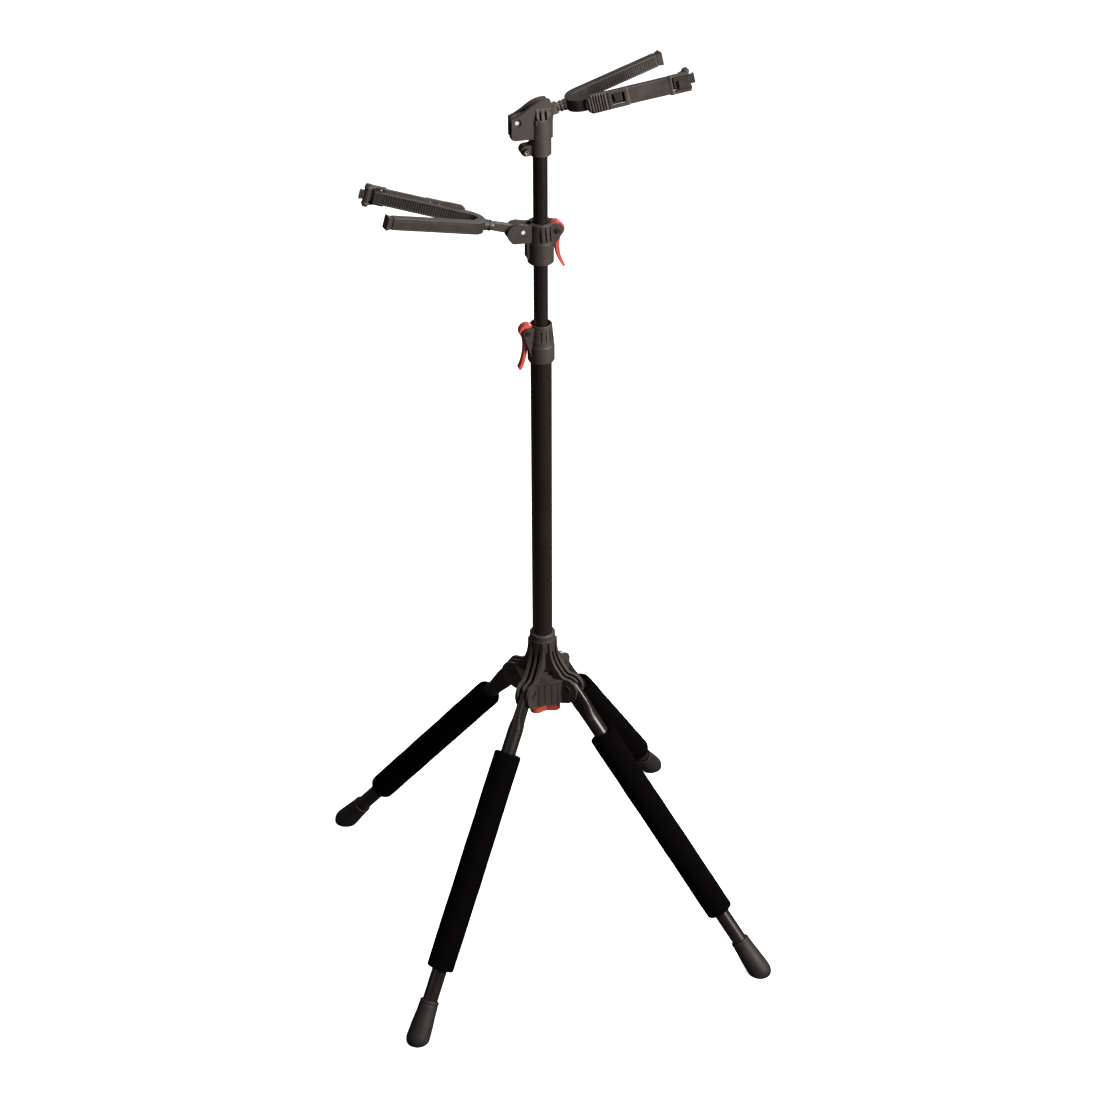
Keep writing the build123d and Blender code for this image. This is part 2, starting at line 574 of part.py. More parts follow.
def yoke_frame():
    tip = ARM_LENGTH
    frame = yoke_shape(CORE_T, CORE_H, tip, tip - 12.0)
    # ringed hub on the spigot
    hub = cyl_x(6.3, -14.0, -2.0)
    hub = hub + cyl_x(7.2, -13.6, -11.2) + cyl_x(7.2, -9.0, -6.8)
    frame = frame + hub + cyl_x(7.4, -7.4, 2.6)
    frame = frame - cyl_x(SPIGOT_R + CLEAR, -20, 2.4) - cyl_x(2.2, -20, 20)
    frame -= cyl_x(6.5, 2.7, 12)
    # strap arm tip: pin boss, hook ahead of it, stepped block between the strap's lugs
    boss = cyl_z(4.4, -8.8, 8.8, tip) + block(tip - 6, tip, -2.8, 2.8, -6.0, 6.0)
    boss += block(tip + 2, tip + 10.2, -2.8, 2.8, -5.4, 5.4)
    boss += block(tip + 7.6, tip + 10.2, -2.8, 4.8, -5.4, 5.4)
    boss += block(tip - 7.5, tip + 4.0, -6.2, -2.4, -8.7, 8.7)
    boss += block(tip - 16.3, tip + 4.0, -9.1, -6.15, -8.7, 8.7)
    boss += block(tip - 10.5, tip + 2.5, -11.6, -9.0, -5.5, 5.5)
    frame += arm_frame(-1) * boss
    # catch arm tip: short neck and flared cap
    catch = block(tip - 13, tip - 8.0, -3.6, 3.6, -5.6, 5.6)
    catch += extrude(Plane.YZ.offset(tip - 12.5) * Rectangle(9.0, 14.4), amount=7.0, taper=-13)
    frame += arm_frame(1) * catch
    return largest(frame - arm_frame(-1) * cyl_z(STRAP_PIN_R + CLEAR, -30, 30, tip))


def yoke_cover():
    """Jacket over the frame, with a peg on the strap arm."""
    cover = yoke_shape(COVER_T, COVER_H, ARM_LENGTH - 8.0, ARM_LENGTH - 13.2)
    # The fillet may fail where the arms meet the bend; the edges then stay square.
    try:
        rims = [e for e in cover.edges() if abs(abs(e.center().Z) - COVER_H / 2) < 0.01]
        cover = fillet(rims, 2.6)
    except Exception:
        pass
    peg = ARM_LENGTH - PEG_FROM_PIN
    cover = cover + arm_frame(-1) * block(peg - 5, peg + 5, -9.8, -4.0, -3.6, 7.0)
    cover -= yoke_shape(CORE_T + 0.12, CORE_H + 0.12, ARM_LENGTH + 20, ARM_LENGTH + 20)
    return largest(cover - cyl_x(7.5, -20, 12))


def strap():
    """Two lugs on the pin, band, window round the peg, ribbed grip at the free end."""
    y0, y1 = STRAP_Y, STRAP_Y + STRAP_T
    lugs = cyl_z(5.4, 9.0, 12.4) + cyl_z(5.4, -12.4, -9.0)
    for z0, z1 in ((9.0, 12.4), (-12.4, -9.0)):
        lugs += block(-4.0, 9.0, 0, y1, z0, z1)
        lugs += block(8.0, 23.0, y0 - 2.6, y1, z0, z1)
    band = block(18.2, 99, y0, y1, -11, 11) + block(18.2, 21.5, y0, y0 + 3.6, -12.4, 12.4)
    window = block(74.5, 99.5, y0, y0 + 3.8, -11.6, 11.6)
    grip = slab(polygon((99, -12.2), (121, -12.6), (126, -9), (128, 0), (126, 9),
                        (121, 12.6), (99, 12.2)), y0, y1)
    body = lugs + band + window + grip
    for k in range(7):
        half = 11.4 if k < 6 else 8.5
        x = 102.0 + 3.4 * k
        body += block(x, x + 1.7, y0 + 2.5, y0 + 4.5, -half, half)
    body -= block(PEG_FROM_PIN - 8, PEG_FROM_PIN + 8, y0 - 2, y0 + 10, -7.5, 7.5)
    return largest(body - cyl_z(STRAP_PIN_R + CLEAR, -30, 30))


def strap_pin():
    pin = cyl_z(STRAP_PIN_R, -14.6, 14.6)
    return largest(pin + cyl_z(3.9, 12.5, 14.6) + cyl_z(3.9, -14.6, -12.5))


def save_hanger(prefix, neck, place, bar_half):
    washer = cyl_x(6.0, neck + 5.0, neck + 6.2)
    washer -= cyl_x(SWIVEL_SCREW_R + CLEAR, neck, neck + 10)
    screw = cyl_x(SWIVEL_SCREW_R, neck - 7.6, neck + 6.3) + cyl_x(3.1, neck + 6.25, neck + 8.4)
    on_yoke = place * Pos(neck, 0, 0)
    on_strap = on_yoke * STRAP_FRAME
    save(f"{prefix}_neck_bar", place * neck_bar(neck, bar_half))
    save(f"{prefix}_swivel_washer", place * largest(washer))
    save(f"{prefix}_swivel_screw", place * largest(screw))
    save(f"{prefix}_yoke_frame", on_yoke * yoke_frame())
    save(f"{prefix}_yoke_cover", on_yoke * yoke_cover())
    save(f"{prefix}_strap", on_strap * strap())
    save(f"{prefix}_strap_pin", on_strap * strap_pin())


def at_pivot(pivot, tilt):
    return Pos(pivot[0], 0, pivot[1]) * Rot(0, tilt, 0)


save_hanger("upper", UPPER_NECK, at_pivot(UPPER_PIVOT, -UPPER_TILT), bar_half=7.0)
save_hanger("lower", LOWER_NECK, at_pivot(LOWER_PIVOT, LOWER_TILT) * Rot(0, 0, 180), bar_half=5.4)
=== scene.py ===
"""A folding stand: four legs with foam sleeves and rubber boots, a mast and neck,
and an upper and a lower yoke, each closed by a strap.

The CAD pieces stand upright along +Z with the boots' soles lowest. Soft parts are rebuilt
as detailed meshes, every piece gets a procedural material, and a studio is set around them.
Lengths are metres unless a name says otherwise.
"""

import json
import math

import bmesh
import bpy
import numpy as np
from mathutils import Matrix, Vector, noise


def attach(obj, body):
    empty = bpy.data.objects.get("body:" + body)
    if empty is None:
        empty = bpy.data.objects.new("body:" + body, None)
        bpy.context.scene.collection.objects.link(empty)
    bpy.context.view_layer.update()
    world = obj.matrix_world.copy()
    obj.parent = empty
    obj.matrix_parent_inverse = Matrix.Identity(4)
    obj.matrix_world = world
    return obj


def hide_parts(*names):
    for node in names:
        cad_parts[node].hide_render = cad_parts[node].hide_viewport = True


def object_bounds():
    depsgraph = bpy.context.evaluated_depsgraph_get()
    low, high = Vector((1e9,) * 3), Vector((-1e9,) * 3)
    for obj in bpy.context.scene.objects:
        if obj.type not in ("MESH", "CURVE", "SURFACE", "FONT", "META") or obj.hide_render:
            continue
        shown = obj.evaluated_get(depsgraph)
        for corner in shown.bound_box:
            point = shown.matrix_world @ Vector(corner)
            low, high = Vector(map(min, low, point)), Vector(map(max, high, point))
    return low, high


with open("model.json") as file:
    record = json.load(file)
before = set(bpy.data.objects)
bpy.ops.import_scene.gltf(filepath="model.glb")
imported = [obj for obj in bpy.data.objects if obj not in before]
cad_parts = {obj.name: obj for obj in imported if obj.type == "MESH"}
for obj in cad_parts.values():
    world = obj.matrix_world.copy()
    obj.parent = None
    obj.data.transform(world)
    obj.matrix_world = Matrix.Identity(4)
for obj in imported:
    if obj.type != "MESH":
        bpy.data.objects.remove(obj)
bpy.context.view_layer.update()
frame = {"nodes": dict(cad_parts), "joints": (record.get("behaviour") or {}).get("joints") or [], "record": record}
NODES = frame["nodes"]
JOINTS = {joint["name"]: joint for joint in frame["joints"]}
SLOT = {part["node"]: part["material_slot"] for part in frame["record"]["subparts"]}
LEGS = ("front_right", "back_right", "back_left", "front_left")
scene = bpy.context.scene


# ------------------------------------------------------------------ mesh access
def read_vectors(items, attribute):
    values = np.empty(len(items) * 3, np.float32)
    items.foreach_get(attribute, values)
    return values.reshape(-1, 3).astype(float)


def cad_points(node):
    return read_vectors(NODES[node].data.vertices, "co")


def get_points(obj):
    return read_vectors(obj.data.vertices, "co")


def get_normals(obj):
    return read_vectors(obj.data.vertex_normals, "vector")


def set_points(obj, points):
    obj.data.vertices.foreach_set("co", points.astype(np.float32).ravel())
    obj.data.update()


# ------------------------------------------------------------------ material layers
def tint(color, factor):
    return tuple(min(1.0, channel * factor) for channel in color)


class Mat:
    """A procedural material built from a few stock layers."""

    def __init__(self, name):
        self.material = bpy.data.materials.new(name)
        self.material.use_nodes = True
        self.tree = self.material.node_tree
        self.tree.nodes.clear()
        output = self.node("ShaderNodeOutputMaterial")
        self.bsdf = self.node("ShaderNodeBsdfPrincipled")
        self.link(self.bsdf.outputs[0], output.inputs[0])
        self.coord = self.node("ShaderNodeTexCoord").outputs["Object"]
        self.normal = None

    def node(self, kind, **props):
        node = self.tree.nodes.new(kind)
        for key, value in props.items():
            setattr(node, key, value)
        return node

    def link(self, source, socket):
        self.tree.links.new(source, socket)

    def put(self, socket, value):
        """Links a socket or sets a plain value."""
        if isinstance(value, bpy.types.NodeSocket):
            self.link(value, socket)
        else:
            socket.default_value = value

    def mapped(self, scale=(1, 1, 1), loc=(0, 0, 0)):
        node = self.node("ShaderNodeMapping")
        self.link(self.coord, node.inputs["Vector"])
        node.inputs["Scale"].default_value = scale
        node.inputs["Location"].default_value = loc
        return node.outputs[0]

    def noise(self, scale, detail=2.0, rough=0.5, vector=None, distortion=0.0):
        node = self.node("ShaderNodeTexNoise")
        self.link(vector or self.coord, node.inputs["Vector"])
        node.inputs["Scale"].default_value = scale
        node.inputs["Detail"].default_value = detail
        node.inputs["Roughness"].default_value = rough
        node.inputs["Distortion"].default_value = distortion
        return node.outputs["Fac"]

    def cells(self, scale):
        node = self.node("ShaderNodeTexVoronoi", feature="F1")
        self.link(self.coord, node.inputs["Vector"])
        node.inputs["Scale"].default_value = scale
        return node.outputs["Distance"]

    def ramp(self, value, span=(0.3, 0.7), to=(0.0, 1.0)):
        """Maps the input span to the output range, clamped."""
        node = self.node("ShaderNodeMapRange")
        self.link(value, node.inputs["Value"])
        node.inputs["From Min"].default_value = span[0]
        node.inputs["From Max"].default_value = span[1]
        node.inputs["To Min"].default_value = to[0]
        node.inputs["To Max"].default_value = to[1]
        node.clamp = True
        return node.outputs["Result"]

    def math(self, operation, first, second):
        node = self.node("ShaderNodeMath", operation=operation)
        self.put(node.inputs[0], first)
        self.put(node.inputs[1], second)
        return node.outputs[0]

    def mix(self, factor, base, over, share=None):
        """Lays colour `over` on `base`; `share` weakens the factor."""
        if share is not None:
            factor = self.math("MULTIPLY", factor, share)
        node = self.node("ShaderNodeMix", data_type="RGBA")
        self.link(factor, node.inputs["Factor"])
        for key, color in (("A", base), ("B", over)):
            socket = [i for i in node.inputs if i.name == key and i.type == "RGBA"][0]
            self.put(socket, (*color, 1.0) if isinstance(color, tuple) else color)
        return [o for o in node.outputs if o.type == "RGBA"][0]

    def mottle(self, pattern, color, dark, light, span=(0.3, 0.7)):
        """Varies a colour between two tints of itself."""
        return self.mix(self.ramp(pattern, span), tint(color, dark), tint(color, light))

    def bevel(self, radius):
        node = self.node("ShaderNodeBevel", samples=4)
        node.inputs["Radius"].default_value = radius
        return node.outputs[0]

    def bump(self, height, strength, distance):
        """Adds a bump on top of the normal so far."""
        node = self.node("ShaderNodeBump")
        self.link(height, node.inputs["Height"])
        node.inputs["Strength"].default_value = strength
        node.inputs["Distance"].default_value = distance
        if self.normal is not None:
            self.link(self.normal, node.inputs["Normal"])
        self.normal = node.outputs[0]

    def edges(self, radius):
        """0 on flat faces, 1 on sharp outer and inner edges."""
        flat = self.node("ShaderNodeNewGeometry").outputs["Normal"]
        dot = self.node("ShaderNodeVectorMath", operation="DOT_PRODUCT")
        self.link(self.bevel(radius), dot.inputs[0])
        self.link(flat, dot.inputs[1])
        return self.ramp(dot.outputs["Value"], span=(0.995, 0.80))

    def finish(self, color, rough, metallic=0.0, **more):
        """Fills the surface shader; `more` names its inputs with _ for spaces."""
        self.put(self.bsdf.inputs["Base Color"], color)
        self.put(self.bsdf.inputs["Roughness"], rough)
        self.put(self.bsdf.inputs["Metallic"], metallic)
        for key, value in more.items():
            self.put(self.bsdf.inputs[key.replace("_", " ")], value)
        self.link(self.normal, self.bsdf.inputs["Normal"])
        return self.material


# ------------------------------------------------------------------ materials
def powder_coat(name, color, rough, specular=0.42, worn=None, scuff=0.0, tube=False):
    """Satin powder coat on steel: orange peel, faint mottling, rub marks."""
    mat = Mat(name)
    if not tube:
        mat.normal = mat.bevel(radius=0.0004)
    big = mat.noise(scale=9.0, detail=3.0, rough=0.55)
    small = mat.noise(scale=260.0, detail=3.0, rough=0.6)
    tone = mat.mottle(big, color, dark=0.82, light=1.18, span=(0.35, 0.65))
    tone = mat.mix(mat.ramp(small, span=(0.5, 0.75)), tone, tint(color, 1.9), share=0.25)
    gloss = mat.math("ADD", mat.ramp(big, to=(rough - 0.05, rough + 0.05)),
                     mat.ramp(small, to=(-0.03, 0.04)))
    if scuff:
        streaks = mat.noise(scale=1.0, detail=4.0, rough=0.7,
                            vector=mat.mapped(scale=(900, 900, 9)))
        rub = mat.math("MULTIPLY", mat.ramp(streaks, span=(0.60, 0.74)), scuff)
        tone = mat.mix(rub, tone, (0.16, 0.15, 0.14))
        gloss = mat.math("ADD", gloss, mat.math("MULTIPLY", rub, 0.12))
    if worn:
        patches = mat.math("MULTIPLY", mat.edges(radius=0.0006),
                           mat.ramp(mat.noise(scale=140.0, detail=3.0), span=(0.42, 0.62)))
        tone = mat.mix(patches, tone, worn, share=0.5)
    mat.bump(mat.noise(scale=1300.0), strength=0.02 if tube else 0.05, distance=0.00008)
    mat.bump(mat.noise(scale=3000.0, detail=1.0), strength=0.015 if tube else 0.04,
             distance=0.00006)
    return mat.finish(tone, gloss, Specular_IOR_Level=specular)


def moulded(name, color, rough=0.55, grain=0.28):
    """Glass-filled nylon moulding: spark-eroded grain, paler rubbed edges, flow mottling."""
    mat = Mat(name)
    mat.normal = mat.bevel(radius=0.00045)
    flow = mat.noise(scale=28.0, detail=4.0, rough=0.6, distortion=0.6)
    dust = mat.noise(scale=95.0, detail=4.0, rough=0.7)
    tone = mat.mottle(flow, color, dark=0.84, light=1.16, span=(0.32, 0.68))
    tone = mat.mix(mat.ramp(dust, span=(0.52, 0.78)), tone, tint(color, 1.7), share=0.30)
    rubbed = mat.math("MULTIPLY", mat.edges(radius=0.0007),
                      mat.ramp(mat.noise(scale=220.0, detail=3.0), span=(0.30, 0.62),
                               to=(0.35, 1.0)))
    tone = mat.mix(rubbed, tone, tint(color, 1.9), share=0.55)
    gloss = mat.math("SUBTRACT", mat.ramp(dust, to=(rough - 0.04, rough + 0.07)),
                     mat.math("MULTIPLY", rubbed, 0.12))
    mat.bump(mat.cells(scale=2300.0), strength=grain, distance=0.00016)
    mat.bump(mat.noise(scale=700.0, detail=3.0, rough=0.6), strength=0.10, distance=0.00025)
    return mat.finish(tone, gloss, Specular_IOR_Level=0.42)


def gloss_red(name):
    """Semi-gloss moulded plastic with soft mottling and rubbed paler edges."""
    color = (0.40, 0.058, 0.045)
    mat = Mat(name)
    mat.normal = mat.bevel(radius=0.0005)
    flow = mat.noise(scale=45.0, detail=3.0, distortion=0.5)
    tone = mat.mottle(flow, color, dark=0.86, light=1.1)
    tone = mat.mix(mat.edges(radius=0.0007), tone, (0.92, 0.25, 0.19), share=0.35)
    spots = mat.ramp(mat.noise(scale=420.0), span=(0.64, 0.78))
    tone = mat.mix(spots, tone, tint(color, 0.5), share=0.18)
    gloss = mat.ramp(mat.noise(scale=160.0, detail=3.0), to=(0.27, 0.40))
    mat.bump(mat.noise(scale=1500.0), strength=0.05, distance=0.00012)
    return mat.finish(tone, gloss, Specular_IOR_Level=0.5, Subsurface_Weight=0.05,
                      Subsurface_Scale=0.002, Coat_Weight=0.12, Coat_Roughness=0.2)


def steel(name, color, rough, metallic=1.0):
    """Turned and plated steel with fine tool lines."""
    mat = Mat(name)
    mat.normal = mat.bevel(radius=0.0003)
    fine = mat.noise(scale=700.0, detail=4.0, rough=0.65)
    tone = mat.mottle(fine, color, dark=0.8, light=1.08)
    gloss = mat.ramp(mat.noise(scale=300.0, detail=3.0), to=(rough - 0.06, rough + 0.10))
    mat.bump(fine, strength=0.08, distance=0.00008)
    return mat.finish(tone, gloss, metallic)


def rubber(name, color, rough, specular, worn, bloom=0.35):
    """Soft moulded rubber: matte grain, a slight pale bloom in patches, paler ridges."""
    mat = Mat(name)
    patch = mat.noise(scale=55.0, detail=5.0, rough=0.65, distortion=0.4)
    fine = mat.noise(scale=900.0, rough=0.6)
    tone = mat.mottle(patch, color, dark=0.82, light=1.18, span=(0.34, 0.68))
    tone = mat.mix(mat.ramp(fine, span=(0.5, 0.8)), tone, tint(color, 1.9), share=bloom)
    ridges = mat.node("ShaderNodeNewGeometry").outputs["Pointiness"]
    tone = mat.mix(mat.ramp(ridges, span=(0.52, 0.60)), tone, tint(color, 2.1), share=worn)
    gloss = mat.ramp(patch, to=(rough - 0.06, rough + 0.08))
    mat.bump(mat.cells(scale=1700.0), strength=0.35, distance=0.00014)
    mat.bump(mat.noise(scale=420.0, detail=3.0, rough=0.6), strength=0.12, distance=0.0003)
    return mat.finish(tone, gloss, Specular_IOR_Level=specular)


def foam(name):
    """Closed-cell foam sleeve: dense matte skin with fine pores."""
    color = (0.00075, 0.00062, 0.00066)
    mat = Mat(name)
    patch = mat.noise(scale=70.0, detail=4.0, rough=0.6)
    pores = mat.cells(scale=750.0)
    tone = mat.mottle(patch, color, dark=0.7, light=1.3)
    tone = mat.mix(mat.ramp(pores, span=(0.32, 0.62)), tone, tint(color, 2.2), share=0.5)
    mat.bump(pores, strength=0.55, distance=0.0004)
    mat.bump(mat.noise(scale=240.0, detail=4.0, rough=0.65), strength=0.35, distance=0.0008)
    return mat.finish(tone, mat.ramp(patch, to=(0.86, 0.97)), Specular_IOR_Level=0.02,
                      Sheen_Weight=0.001, Sheen_Roughness=0.6)


def cap_screw(name):
    """Blackened cap screw, lying along Y, with a bright, broached socket."""
    mat = Mat(name)
    points = cad_points("head_clamp_screw")
    middle = (points.min(0) + points.max(0)) / 2
    mat.normal = mat.bevel(radius=0.0003)
    flat = mat.node("ShaderNodeVectorMath", operation="MULTIPLY")
    mat.link(mat.mapped(loc=(-middle[0], 0, -middle[2])), flat.inputs[0])
    flat.inputs[1].default_value = (1, 0, 1)
    distance = mat.node("ShaderNodeVectorMath", operation="LENGTH")
    mat.link(flat.outputs[0], distance.inputs[0])
    bright = mat.ramp(distance.outputs["Value"], span=(0.0030, 0.0026))
    fine = mat.noise(scale=800.0, detail=3.0, rough=0.6)
    tone = mat.mix(bright, mat.mix(fine, (0.030, 0.027, 0.025), (0.060, 0.055, 0.050)),
                   mat.mix(fine, (0.62, 0.60, 0.57), (0.85, 0.83, 0.80)))
    mat.bump(fine, strength=0.08, distance=0.00008)
    return mat.finish(tone, mat.ramp(fine, to=(0.25, 0.36)),
                      mat.ramp(bright, span=(0, 1), to=(0.6, 1.0)))


COAT_BLACK = (0.0066, 0.0050, 0.0046)
DARK = (0.0228, 0.0188, 0.0165)
MATERIALS = {
    "powder_coat_black": powder_coat("coat_black", COAT_BLACK, rough=0.30, specular=0.40,
                                     tube=True),
    "mast": powder_coat("coat_mast", COAT_BLACK, rough=0.30, specular=0.40, scuff=0.06,
                        tube=True),
    "neck_low": powder_coat("coat_neck_low", (0.032, 0.028, 0.025), rough=0.42,
                            worn=(0.30, 0.28, 0.26)),
    "neck_metal": powder_coat("coat_neck", (0.058, 0.051, 0.044), rough=0.42,
                              worn=(0.34, 0.32, 0.30)),
    "moulded_dark": moulded("moulded_dark", DARK),
    # the head housing's dark moulding is painted 1.25 times lighter: painted light standing in for the key light
    # falling on its faces
    "head": moulded("moulded_head_painted_lit", tint(DARK, 1.25)),
    "nylon_dark": moulded("nylon_dark", (0.022, 0.021, 0.020), rough=0.5, grain=0.15),
    "lever_red": gloss_red("lever_red"),
    "bolt_steel": steel("bolt_steel", (0.80, 0.77, 0.73), rough=0.34, metallic=0.45),
    "spring_steel": steel("spring_steel", (0.55, 0.54, 0.53), rough=0.3),
    "bolt_black": steel("bolt_black", (0.045, 0.043, 0.042), rough=0.36, metallic=0.75),
    "foam_black": foam("foam_black"),
    "boot_rubber": rubber("boot_rubber", (0.0098, 0.0090, 0.0085), rough=0.60, specular=0.28,
                          worn=0.25, bloom=0.9),
    "yoke_rubber": rubber("yoke_rubber", (0.0160, 0.0142, 0.0136), rough=0.56, specular=0.38,
                          worn=0.4),
    "strap_rubber": rubber("strap_rubber", (0.040, 0.0340, 0.0310), rough=0.52, specular=0.42,
                           worn=0.35),
    "cap_screw": cap_screw("cap_screw"),
}
# pieces that don't wear their slot's own material; the head housing's is a copy of the dark moulding painted
# lighter, a painted highlight
SPECIAL = {"mast_tube": "mast", "head_housing": "head", "lower_neck_bar": "neck_low",
           "head_clamp_screw": "cap_screw"}
for node_name, piece in NODES.items():
    piece.data.materials.clear()
    piece.data.materials.append(MATERIALS[SPECIAL.get(node_name, SLOT[node_name])])


# ------------------------------------------------------------------ mesh helpers
def new_object(name, verts, faces, material, smooth=True):
    mesh = bpy.data.meshes.new(name)
    mesh.from_pydata([tuple(map(float, vert)) for vert in verts], [], faces)
    mesh.validate()
    bm = bmesh.new()
    bm.from_mesh(mesh)
    bmesh.ops.recalc_face_normals(bm, faces=bm.faces)
    bm.to_mesh(mesh)
    bm.free()
    mesh.polygons.foreach_set("use_smooth", [smooth] * len(mesh.polygons))
    obj = bpy.data.objects.new(name, mesh)
    scene.collection.objects.link(obj)
    mesh.materials.append(material)
    return obj


def bake_modifiers(obj):
    """Replaces the object's mesh by its evaluated one."""
    depsgraph = bpy.context.evaluated_depsgraph_get()
    mesh = bpy.data.meshes.new_from_object(obj.evaluated_get(depsgraph))
    old = obj.data
    obj.modifiers.clear()
    obj.data = mesh
    bpy.data.meshes.remove(old)


def noise_at(points, scale, seed):
    offset = Vector((seed, seed * 1.7, -seed))
    return np.array([noise.noise(Vector(point) * scale + offset) for point in points])


def displaced(obj, points, push):
    """The points moved along the object's present normals."""
    return points + get_normals(obj) * push[:, None]


def radii(points):
    """Distances from the local first axis."""
    return np.hypot(points[:, 1], points[:, 2])


def limited(sizes, most):
    """Factors that bring each size down to at most `most`."""
    return np.minimum(1.0, most / np.maximum(sizes, 1e-9))


def turns(count):
    """Cosine and sine at each step round a circle."""
    angles = [2 * math.pi * i / count for i in range(count)]
    return [(math.cos(angle), math.sin(angle)) for angle in angles]


def rings(outline, count):
    """Vertices of one ring per (station, radius)."""
    return [(station, radius * cosine, radius * sine)
            for station, radius in outline for cosine, sine in turns(count)]


def ring_faces(ring_count, segments, closed):
    faces = []
    for i in range(ring_count if closed else ring_count - 1):
        here, there = i * segments, ((i + 1) % ring_count) * segments
        for j in range(segments):
            k = (j + 1) % segments
            faces.append((here + j, here + k, there + k, there + j))
    return faces


def register(obj, moves_with, stands_for):
    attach(obj, moves_with)
    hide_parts(stands_for)


def leg_frame(leg):
    """The leg's pivot, and its axes as columns: down the leg, up and out, sideways."""
    joint = JOINTS["fold_leg_" + leg]
    pivot = np.array(joint["pos_m"], float)
    side = np.array(joint["axis"], float)
    side /= np.linalg.norm(side)
    points = cad_points("leg_foam_" + leg)
    down = (points.min(0) + points.max(0)) / 2 - pivot
    down -= side * (down @ side)
    down /= np.linalg.norm(down)
    out = np.cross(side, down)
    if out[2] < 0:
        out = -out
    return pivot, np.stack([down, out, side], 1)


# ------------------------------------------------------------------ foam sleeves
FOAM_SEGMENTS = 48
FOAM_SKIN_STEPS = 52
FOAM_BORE_STEPS = 8
FOAM_CORNER_STEPS = 4
FOAM_CORNER = 0.0034        # radius of the rounded end edges
FOAM_BORE_BAND = 0.0015     # depth round the bore that keeps its shape
SWELL_MOST = 0.0012         # furthest a point may move while swelling
SWELL_STANDOFF = 0.0004     # most it may stand outside the sleeve's radius
SWELL_END = 0.0006          # most it may pass either end


def foam_outline(start, end, bore, outer):
    """Closed (station, radius) outline: upper end face, skin, lower end face, bore."""
    corner, edge = FOAM_CORNER, outer - FOAM_CORNER
    face = (bore + outer) / 2 - 0.0012
    bends = [math.pi / 2 * i / FOAM_CORNER_STEPS for i in range(FOAM_CORNER_STEPS + 1)]
    outline = [(start + 0.0004, bore), (start + 0.0001, face), (start, edge - 0.0006)]
    outline += [(start + corner - corner * math.cos(bend), edge + corner * math.sin(bend))
                for bend in bends]
    outline += [(start + corner + (end - start - 2 * corner) * i / FOAM_SKIN_STEPS, outer)
                for i in range(1, FOAM_SKIN_STEPS)]
    outline += [(end - corner + corner * math.sin(bend), edge + corner * math.cos(bend))
                for bend in bends]
    outline += [(end, edge - 0.0006), (end - 0.0001, face), (end - 0.0004, bore)]
    outline += [(end - 0.0004 - (end - start - 0.0008) * i / FOAM_BORE_STEPS, bore)
                for i in range(1, FOAM_BORE_STEPS)]
    return outline


def swell(obj, start, end, bore, outer):
    """Inflates the skin a little as pressurised cloth, held at the bore."""
    rest = get_points(obj)
    held = obj.vertex_groups.new(name="held")
    for i, radius in enumerate(radii(rest)):
        weight = 1.0
        if radius >= bore + FOAM_BORE_BAND:
            weight = max(0.0, min(1.0, (outer - 0.004 - radius) / (outer - bore)))
        if weight > 0:
            held.add([i], weight, "REPLACE")
    cloth = obj.modifiers.new("swell", "CLOTH")
    settings = cloth.settings
    settings.use_pressure = True
    settings.uniform_pressure_force = 3.0
    settings.effector_weights.gravity = 0.0
    settings.mass = 0.3
    settings.tension_stiffness = 25
    settings.compression_stiffness = 25
    settings.shear_stiffness = 12
    settings.bending_stiffness = 4
    settings.vertex_group_mass = "held"
    cloth.point_cache.frame_start, cloth.point_cache.frame_end = 1, 14
    for i in range(1, 13):
        scene.frame_set(i)
    bake_modifiers(obj)
    scene.frame_set(1)
    move = get_points(obj) - rest
    points = rest + move * limited(np.linalg.norm(move, axis=1), SWELL_MOST)[:, None]
    # a firm foam holds its length and its radius to within a hair
    points[:, 1:] *= limited(radii(points), outer + SWELL_STANDOFF)[:, None]
    points[:, 0] = np.clip(points[:, 0], start - SWELL_END, end + SWELL_END)
    set_points(obj, points)
    obj.vertex_groups.clear()


def foam_sleeve(leg, seed):
    pivot, axes = leg_frame(leg)
    cad = (cad_points("leg_foam_" + leg) - pivot) @ axes
    start, end = cad[:, 0].min(), cad[:, 0].max()
    outer, bore = radii(cad).max(), radii(cad).min() + 0.0001
    outline = foam_outline(start, end, bore, outer)
    local = np.array(rings(outline, FOAM_SEGMENTS))
    # the sleeve starts a touch slim, with the slow unevenness of extruded foam, and then swells
    radius = radii(local)
    uneven = noise_at(local * np.array([1.0, 1.6, 1.6]), scale=22.0, seed=seed)
    slim = np.where(radius > bore + FOAM_BORE_BAND, 0.00075 + 0.0005 * uneven, 0.0)
    local[:, 1:] *= (1 - slim / radius)[:, None]
    obj = new_object("foam_sleeve_" + leg, local,
                     ring_faces(len(outline), FOAM_SEGMENTS, closed=True),
                     MATERIALS["foam_black"])
    swell(obj, start, end, bore, outer)
    finer = obj.modifiers.new("sub", "SUBSURF")
    finer.levels = finer.render_levels = 1
    bake_modifiers(obj)
    points = get_points(obj)
    fine = (noise_at(points, scale=260.0, seed=seed + 3.1) * 0.00012
            + noise_at(points, scale=75.0, seed=seed + 9.7) * 0.00018)
    fine[radii(points) < bore + 0.001] = 0.0
    set_points(obj, pivot + displaced(obj, points, fine) @ axes.T)
    register(obj, "leg_" + leg, "leg_foam_" + leg)


